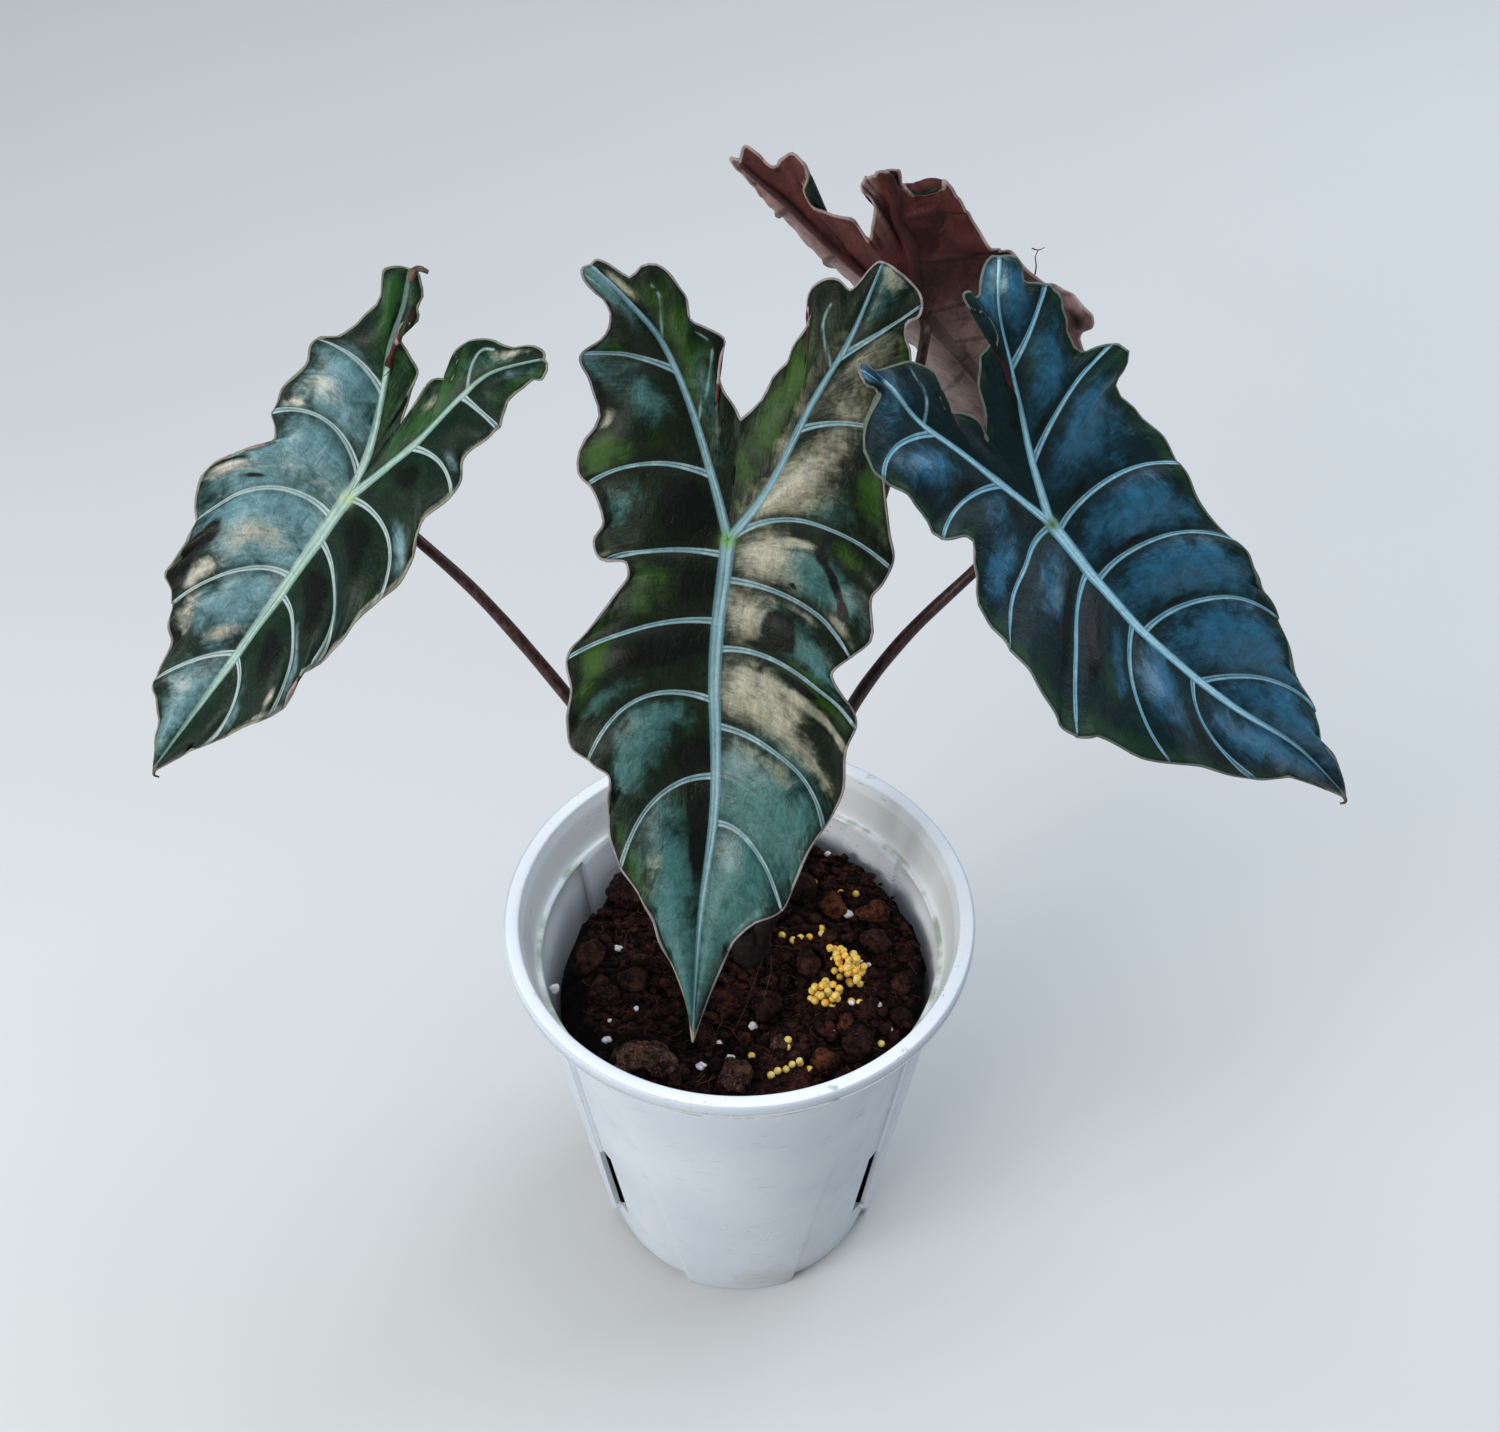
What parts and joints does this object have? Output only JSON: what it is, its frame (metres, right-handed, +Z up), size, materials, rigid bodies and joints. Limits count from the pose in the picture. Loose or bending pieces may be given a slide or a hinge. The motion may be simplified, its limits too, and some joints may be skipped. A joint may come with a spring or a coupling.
{
  "type": "potted alocasia plant",
  "caption": "Young alocasia with arrow-shaped, wavy-edged dark leaves and pale raised veins on thin stalks, growing in a tapered white nursery pot of dark soil.",
  "frame": {"origin": "middle of the pot's underside, on the surface it stands on, on the pot's own axis", "axes": "+Z up along the pot's axis; the front leaf's tip points towards -Y; +X to the right seen from there"},
  "size_m": [0.3619, 0.1823, 0.3775],
  "materials": {
    "pot_plastic": "satin white moulded plastic, scuffed",
    "soil": "loose coir and peat mix",
    "stem": "smooth dark maroon plant stem",
    "leaf": "glossy dark leaf with pale veins, burgundy underside",
    "prill": "waxy coated fertiliser beads"
  },
  "bodies": {
    "root": {"pot": "pot_plastic", "soil": "soil", "crown": "stem", "stalk_front": "stem", "stalk_left": "stem", "stalk_right": "stem", "stalk_back": "stem", "leaf_front": "leaf", "leaf_left": "leaf", "leaf_right": "leaf", "leaf_back": "leaf", "prills_rear_heap": "prill", "prills_front_heap": "prill", "prills_front_string": "prill", "prills_near_string": "prill", "prills_rear_string": "prill"}
  },
  "joints": []
}
